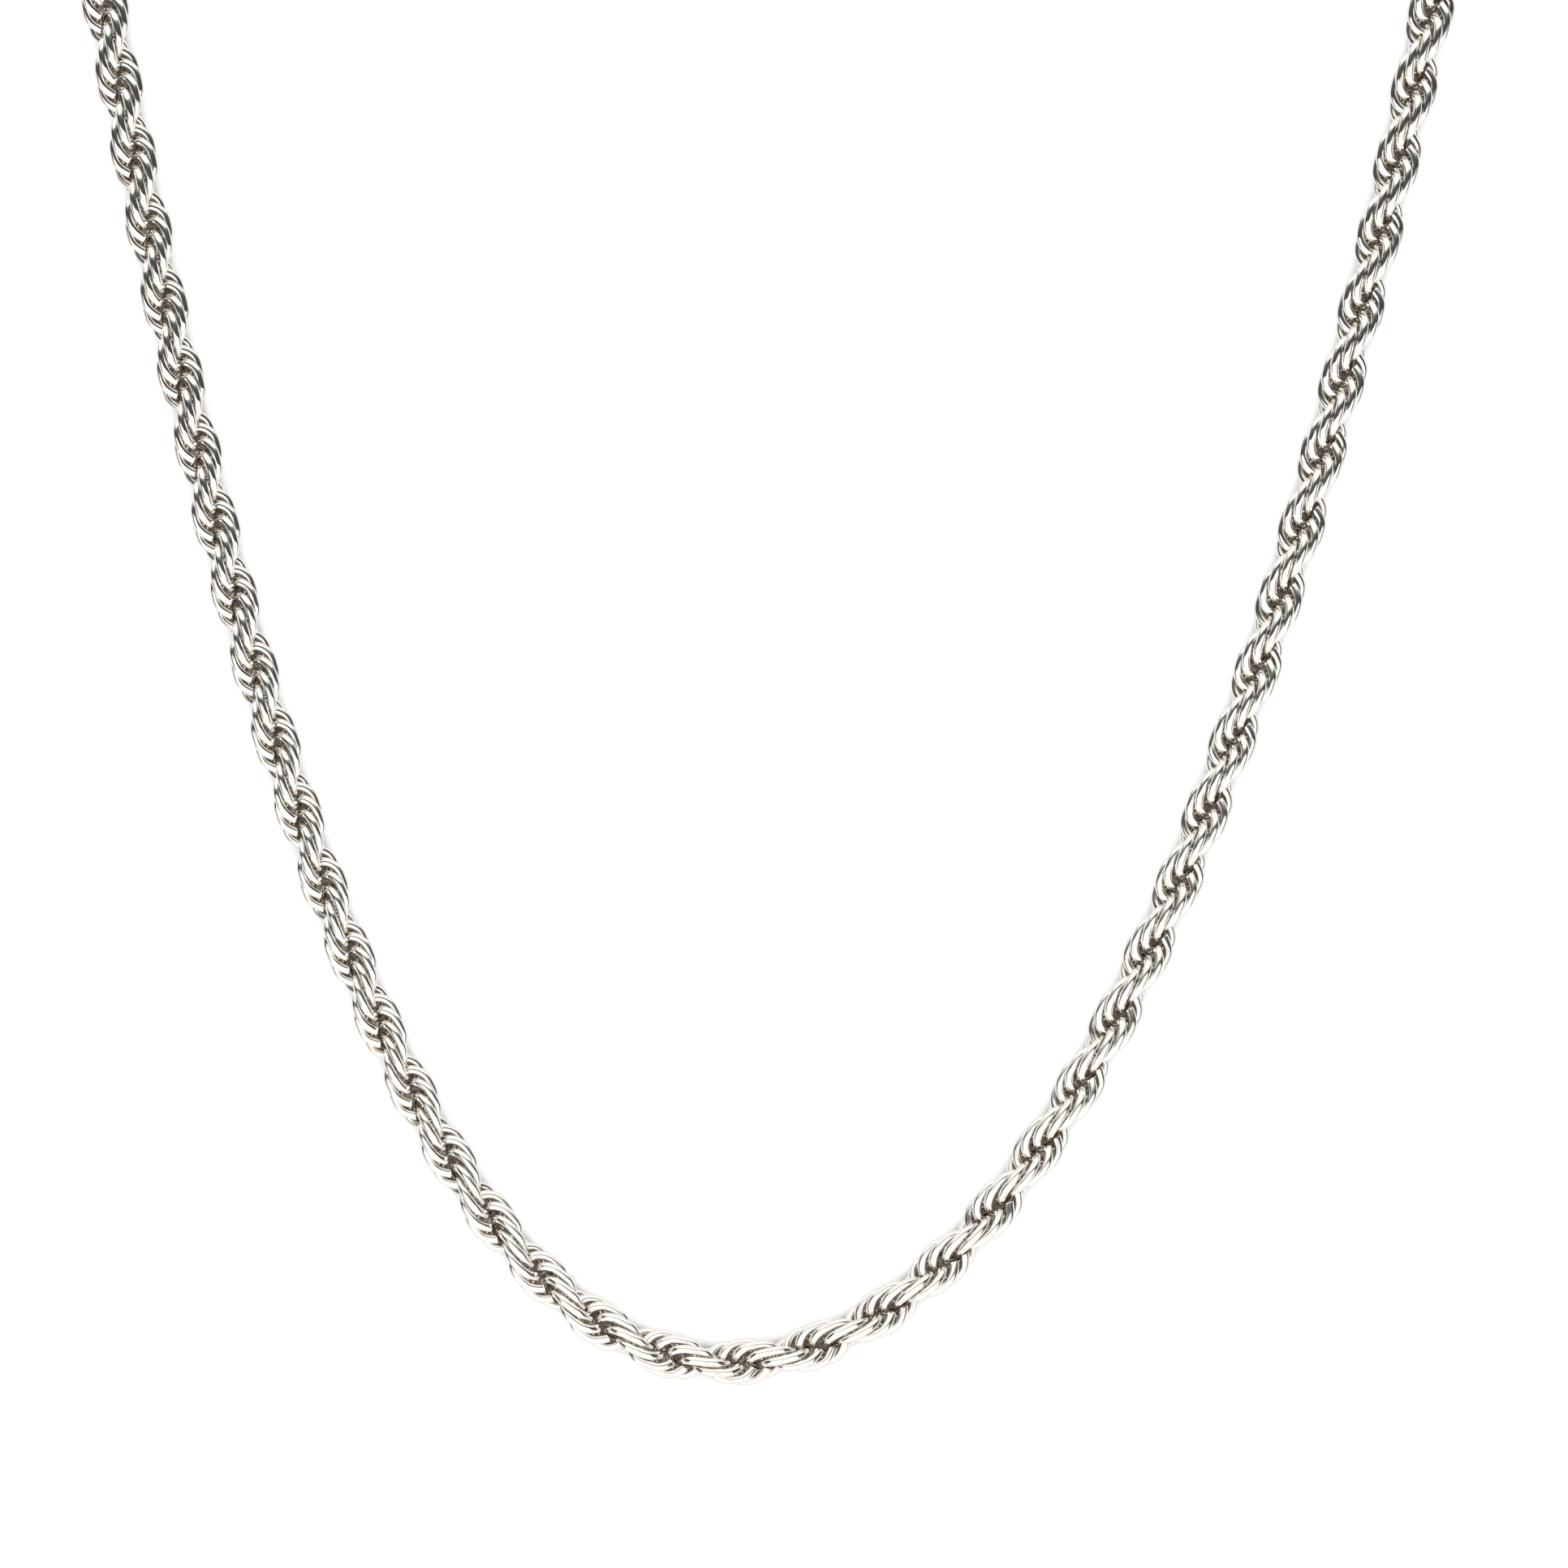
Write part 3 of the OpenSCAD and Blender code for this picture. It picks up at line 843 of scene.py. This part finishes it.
end_piece("rivet_pin", [rivet_pin()], "left", "clasp", steel_finish, "clasp_rivet")
coil = wire_ring((*rivet, SPRING_Z), TONGUE_R - SPRING_WIRE, SPRING_WIRE)
end_piece("spring_coil", [coil], "left", "clasp", steel_finish, "clasp_spring")
print("rivet:", RIVET_D, "mm, spring wire:", SPRING_WIRE, "mm")

# %% [markdown]
# ## Camera
# The photograph looks square on at the chain. The chain is laid on the table here, so the camera
# stands straight above it, far enough away for its arms to keep their photographed width.

# %% Camera
PHOTO_PX = 1932
# So many millimetres of the chain take up so many pixels, and the front of the chain is at this one
SCALE_MM, SCALE_PX = 5.0, 57.5
FRONT_PX = (893.1, 1678.7)
CAMERA_H = 900.0
PX = SCALE_MM / SCALE_PX
centre_px = PHOTO_PX / 2
camera_xy = front[:2] + np.array([centre_px - FRONT_PX[0], FRONT_PX[1] - centre_px]) * PX
camera_data = bpy.data.cameras.new("camera")
camera = bpy.data.objects.new("camera", camera_data)
bpy.context.scene.collection.objects.link(camera)
camera.location = (*(camera_xy * MM), (AXIS_Z + CAMERA_H) * MM)
camera_data.lens = camera_data.sensor_width * CAMERA_H / (PHOTO_PX * PX)
camera_data.clip_start = 0.01
bpy.context.scene.camera = camera
print("lens:", round(camera_data.lens, 1), "mm")

# %% [markdown]
# ## Floor
# The photograph's background is plain white. A white sheet in plain light would come out grey, so rays
# from the camera and from the metal see it as white paper that is lit from within. Under the chain,
# where ambient occlusion finds the paper closed in, the glow gives way to a dark brown matt colour in
# the lamps' light: painted shade under the chain and for the floor seen through the gaps in the rope.

# %% Floor sheet
FLOOR = 4000.0
floor_mesh = bpy.data.meshes.new("floor")
corners = np.array([[-1, -1, 0], [1, -1, 0], [1, 1, 0], [-1, 1, 0]]) * FLOOR * MM
floor_mesh.from_pydata(corners.tolist(), [], [[0, 1, 2, 3]])
floor = bpy.data.objects.new("floor", floor_mesh)
bpy.context.scene.collection.objects.link(floor)
print("floor:", 2 * FLOOR, "mm square")

# %% Floor paper
# How near a thing has to be to close the paper in. Up to the first share of open sky the paper shows
# its painted shade, dark brown in the lamps' light, and from the second on none of it
CLOSED_IN_MM = 4.0
SHADED, UNSHADED = 0.34, 0.6
# This share of the glow is just white
PAPER_SHARE, PAPER_GLOW = 0.95, 1.06
paper = bpy.data.materials.new("white_paper")
paper.use_nodes = True
tree = paper.node_tree
tree.nodes.clear()
path = add_node(tree, "ShaderNodeLightPath")
seen = add_node(
    tree, "ShaderNodeMath",
    {0: path.outputs["Is Camera Ray"], 1: path.outputs["Is Glossy Ray"]}, operation="MAXIMUM")
seen = add_node(
    tree, "ShaderNodeMath",
    {0: seen.outputs[0], 1: path.outputs["Is Transmission Ray"]}, operation="MAXIMUM")
closed = add_node(tree, "ShaderNodeAmbientOcclusion", {"Distance": CLOSED_IN_MM * MM}, samples=32)
open_sky = add_node(
    tree, "ShaderNodeMapRange",
    {"Value": closed.outputs["AO"], "From Min": SHADED, "From Max": UNSHADED, "To Max": PAPER_SHARE},
    interpolation_type="SMOOTHSTEP")
share = add_node(
    tree, "ShaderNodeMath", {0: seen.outputs[0], 1: open_sky.outputs[0]}, operation="MULTIPLY")
# The matt colour is a dark brown: painted shade under the chain and in the gaps of the rope
painted_shade_matt = add_node(tree, "ShaderNodeBsdfDiffuse", {"Color": linear("#7a6a58")})
glow = add_node(tree, "ShaderNodeEmission", {"Color": (1, 1, 1, 1), "Strength": PAPER_GLOW})
mix = add_node(
    tree, "ShaderNodeMixShader", {0: share.outputs[0], 1: painted_shade_matt.outputs[0], 2: glow.outputs[0]})
add_node(tree, "ShaderNodeOutputMaterial", {"Surface": mix.outputs[0]})
floor.data.materials.append(paper)
print("material:", paper.name)

# %% [markdown]
# ## Light tent
# Polished metal shows nothing but its surroundings, so the stripes on the wires are a picture of the
# room. The chain was shot in a white tent. The dark stripes are its opening, which the chain sees from
# straight up to a third of the way down the back. The tent's ends and the seam of its front show as
# greys. A photograph of a studio would do as a world, but a few ramps along the directions say the
# same, and each edge can be moved until the stripes fit.

# %% The tent's opening
# How far back the dark opening starts and ends, and how much further back it ends to the right
OPENING_LOW = -0.04
OPENING_HIGH, HIGH_CLIMB = 0.54, 0.16
# Colours from before the opening to behind it, and where its two edges lie among them
TENT = (
    (0.0, "#ffffff"),
    (0.2, "#ffffff"),
    (0.26, "#333332"),
    (0.56, "#545557"),
    (0.7, "#8d9997"),
    (0.76, "#ffffff"),
)
EDGE_LOW, EDGE_HIGH = 0.25, 0.75
world = bpy.data.worlds.new("light_tent")
bpy.context.scene.world = world
world.use_nodes = True
tree = world.node_tree
tree.nodes.clear()
way = add_node(tree, "ShaderNodeTexCoord").outputs["Generated"]
axes = add_node(tree, "ShaderNodeSeparateXYZ", {0: way})
high = add_node(
    tree, "ShaderNodeMath", {0: axes.outputs["X"], 1: HIGH_CLIMB, 2: OPENING_HIGH},
    operation="MULTIPLY_ADD")
across = add_node(
    tree, "ShaderNodeMapRange",
    {"Value": axes.outputs["Y"], "From Min": OPENING_LOW, "From Max": high.outputs[0],
     "To Min": EDGE_LOW, "To Max": EDGE_HIGH}, clamp=False)
cloth = add_node(tree, "ShaderNodeValToRGB", {"Fac": across.outputs[0]})
for place, colour in TENT[1:]:
    cloth.color_ramp.elements.new(place).color = linear(colour)
cloth.color_ramp.elements[0].color = linear(TENT[0][1])
print("tent:", len(TENT), "bands")

# %% The tent's seam and ends
# Half the width of the seam of the two front cloths, how it fades, and where it starts and is full
SEAM, SEAM_FADE = 0.08, 1.6
SEAM_START, SEAM_FULL = -0.8, -0.4
# The room shows past the ends of the tent on the far left and right
SIDE_CLOTH, SIDE_FADE, SIDE_DARK = 0.76, 0.08, 0.85
off_seam = add_node(tree, "ShaderNodeMath", {0: axes.outputs["X"]}, operation="ABSOLUTE")
seam = add_node(
    tree, "ShaderNodeMapRange",
    {"Value": off_seam.outputs[0], "From Min": SEAM, "From Max": SEAM_FADE * SEAM,
     "To Min": 1.0, "To Max": 0.0})
in_front = add_node(
    tree, "ShaderNodeMapRange",
    {"Value": axes.outputs["Y"], "From Min": SEAM_START, "From Max": SEAM_FULL})
front_half = add_node(
    tree, "ShaderNodeMath", {0: axes.outputs["Y"], 1: 0.0}, operation="LESS_THAN")
in_front = add_node(
    tree, "ShaderNodeMath", {0: in_front.outputs[0], 1: front_half.outputs[0]},
    operation="MULTIPLY")
in_seam = add_node(
    tree, "ShaderNodeMath", {0: seam.outputs[0], 1: in_front.outputs[0]}, operation="MULTIPLY")
past_end = add_node(
    tree, "ShaderNodeMapRange",
    {"Value": off_seam.outputs[0], "From Min": SIDE_CLOTH, "From Max": SIDE_CLOTH + SIDE_FADE,
     "To Max": SIDE_DARK})
dark = add_node(
    tree, "ShaderNodeMath", {0: in_seam.outputs[0], 1: past_end.outputs[0]}, operation="MAXIMUM")
shade = add_node(
    tree, "ShaderNodeMix",
    {0: dark.outputs[0], MIX_A: cloth.outputs["Color"], MIX_B: linear("#3a3a39")},
    data_type="RGBA")
print("seam:", 2 * SEAM, "ends past:", SIDE_CLOTH)

# %% The tent as the world
# The camera sees plain white, and the metal sees the tent
TENT_LIGHT = 1.25
light = add_node(
    tree, "ShaderNodeBackground", {"Color": shade.outputs[MIX_OUT], "Strength": TENT_LIGHT})
path = add_node(tree, "ShaderNodeLightPath")
plain = add_node(tree, "ShaderNodeBackground", {"Color": (1, 1, 1, 1), "Strength": 1.0})
mix = add_node(
    tree, "ShaderNodeMixShader",
    {0: path.outputs["Is Camera Ray"], 1: light.outputs[0], 2: plain.outputs[0]})
add_node(tree, "ShaderNodeOutputWorld", {"Surface": mix.outputs[0]})
bpy.context.scene.view_settings.view_transform = "Standard"
print("tent light:", TENT_LIGHT)

# %% [markdown]
# ## Soft box
# Towards the front of the chain the dark stripes thin out. A world is endlessly far away and looks the
# same from every link, so something near has to cover the opening there: a soft box low over the
# front. The camera looks through it. Its light is given as the brightness of its face, which an area
# lamp's watts follow from.

# %% Soft box
BOX_W, BOX_D, BOX_UP, BOX_BACK_EDGE = 600.0, 250.0, 240.0, -32.0
BOX_LIGHT = 1.0
box_data = bpy.data.lights.new("front_soft_box", "AREA")
box_data.shape = "RECTANGLE"
box_data.size, box_data.size_y = BOX_W * MM, BOX_D * MM
box_data.energy = BOX_LIGHT * np.pi * BOX_W * BOX_D * MM**2
soft_box = bpy.data.objects.new("front_soft_box", box_data)
soft_box.location = (0, (BOX_BACK_EDGE - BOX_D / 2) * MM, BOX_UP * MM)
soft_box.visible_camera = False
bpy.context.scene.collection.objects.link(soft_box)
print("soft box:", round(box_data.energy, 3), "W")
